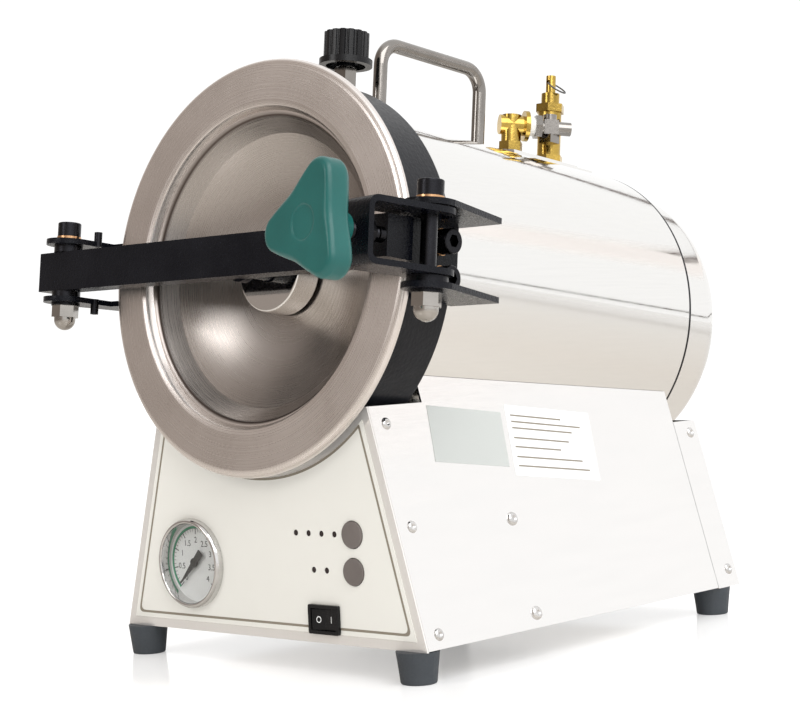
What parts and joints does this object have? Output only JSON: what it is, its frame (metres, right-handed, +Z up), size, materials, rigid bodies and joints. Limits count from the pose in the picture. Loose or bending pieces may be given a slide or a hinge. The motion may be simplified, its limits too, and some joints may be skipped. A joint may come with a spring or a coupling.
{
  "type": "benchtop autoclave",
  "caption": "Benchtop steam autoclave with a tilted horizontal chamber, a clamped round door with a lobed knob, a pressure gauge and a sloping steel base.",
  "frame": {"origin": "on the bench under the middle of the whole object", "axes": "+Z up, +Y towards the back, so the door faces -Y, and +X is the clamp's side"},
  "size_m": [0.3048, 0.4155, 0.3407],
  "materials": {
    "mirror_steel": "polished",
    "brushed_steel": "satin",
    "dark_steel": "satin",
    "black_coat": "matte",
    "black_oxide": "satin",
    "nickel": "polished",
    "brass": "satin",
    "teal_plastic": "satin",
    "black_plastic": "satin",
    "button_plastic": "matte",
    "overlay_film": "satin",
    "white_dial": "matte",
    "pointer_black": "matte",
    "clear_lens": "clear",
    "foot_rubber": "matte",
    "silicone": "matte",
    "wool": "matte",
    "circuit_green": "satin",
    "led_dark": "gloss",
    "seal_white": "satin",
    "copper_washer": "satin",
    "label_film": "satin",
    "tray_aluminium": "satin"
  },
  "bodies": {
    "root": {"acorn_nuts": "nickel", "base_pan": "mirror_steel", "bracket_screws": "black_oxide", "brass_elbow": "brass", "carry_handle": "brushed_steel", "chamber": "brushed_steel", "collar": "black_coat", "control_board": "circuit_green", "door_gasket": "silicone", "feet": "foot_rubber", "fitting_plate": "mirror_steel", "front_overlay": "overlay_film", "front_panel": "mirror_steel", "fuse_holders": "black_plastic", "gauge_case": "nickel", "gauge_dial": "white_dial", "gauge_lens": "clear_lens", "heater_band": "dark_steel", "insulation": "wool", "leds": "led_dark", "left_bracket": "black_coat", "outer_shell": "mirror_steel", "pivot_bolts": "black_oxide", "pivot_washers": "black_oxide", "power_inlet": "black_plastic", "rear_cap": "mirror_steel", "rear_cover": "mirror_steel", "rear_spacer_ring": "black_coat", "release_valve": "nickel", "right_bracket": "black_coat", "rivets": "nickel", "safety_valve": "brass", "side_labels": "label_film", "side_panel_left": "mirror_steel", "side_panel_right": "mirror_steel", "side_screws": "nickel", "spring_pins": "black_oxide", "spring_washers": "copper_washer", "switch_housing": "black_plastic", "temperature_sensor": "nickel", "tray_rack": "brushed_steel", "trays": "tray_aluminium", "vent_seal": "seal_white", "vent_valve": "nickel"},
    "arm": {"door_bar": "black_coat", "door_stud": "dark_steel"},
    "door": {"door": "brushed_steel", "door_boss": "mirror_steel"},
    "yoke": {"yoke": "black_coat", "lock_nut": "black_oxide"},
    "clamp_pad": {"clamp_pad": "black_oxide"},
    "clamp_knob": {"clamp_knob": "teal_plastic", "clamp_screw": "black_oxide"},
    "gauge_pointer": {"gauge_pointer": "pointer_black"},
    "rocker": {"rocker": "black_plastic"},
    "start_button": {"start_button": "button_plastic"},
    "select_button": {"select_button": "button_plastic"},
    "release_knob": {"release_knob": "black_plastic"},
    "safety_stem": {"safety_stem": "brass"},
    "pull_ring": {"pull_ring": "dark_steel"}
  },
  "joints": [
    {"name": "door_swing", "type": "hinge", "parent": "root", "child": "arm", "pos_m": [-0.1369, -0.12936, 0.21491], "axis": [0, -0.1252, -0.9921], "range_deg": [0, 110]},
    {"name": "door_spin", "type": "hinge", "parent": "arm", "child": "door", "pos_m": [0, -0.116, 0.2102], "axis": [0, 0.9921, -0.1252], "continuous": true},
    {"name": "yoke_swing", "type": "hinge", "parent": "arm", "child": "yoke", "pos_m": [0.1369, -0.12954, 0.21342], "axis": [0, 0.1252, 0.9921], "range_deg": [0, 105]},
    {"name": "clamp_travel", "type": "slide", "parent": "yoke", "child": "clamp_pad", "axis": [0.1392, 0.9825, -0.1239], "range_m": [0, 0.0035]},
    {"name": "clamp_turn", "type": "hinge", "parent": "clamp_pad", "child": "clamp_knob", "pos_m": [0.12855, -0.18849, 0.22086], "axis": [0.1392, 0.9825, -0.1239], "range_deg": [0, 1008]},
    {"name": "pressure_reading", "type": "hinge", "parent": "root", "child": "gauge_pointer", "pos_m": [-0.0556, -0.114, 0.0526], "axis": [0, 1, 0], "range_deg": [0, 270]},
    {"name": "power_rocker", "type": "hinge", "parent": "root", "child": "rocker", "pos_m": [0.0439, -0.112, 0.0282], "axis": [0, 0, -1], "range_deg": [0, 16]},
    {"name": "start_press", "type": "slide", "parent": "root", "child": "start_button", "axis": [0, 1, 0], "range_m": [0, 0.001], "stiffness_N_per_m": 300},
    {"name": "select_press", "type": "slide", "parent": "root", "child": "select_button", "axis": [0, 1, 0], "range_m": [0, 0.001], "stiffness_N_per_m": 300},
    {"name": "exhaust_turn", "type": "hinge", "parent": "root", "child": "release_knob", "pos_m": [0, -0.03723, 0.32323], "axis": [0, 0.1252, 0.9921], "range_deg": [0, 450]},
    {"name": "safety_lift", "type": "slide", "parent": "root", "child": "safety_stem", "axis": [0, 0.1252, 0.9921], "range_m": [0, 0.003], "stiffness_N_per_m": 400},
    {"name": "ring_flip", "type": "hinge", "parent": "safety_stem", "child": "pull_ring", "pos_m": [0, 0.14634, 0.32426], "axis": [0, -0.9921, 0.1252], "range_deg": [0, 100]}
  ],
  "couplings": [
    {"joint": "clamp_turn", "follows": "clamp_travel", "rad_per_m": 5026.5}
  ]
}
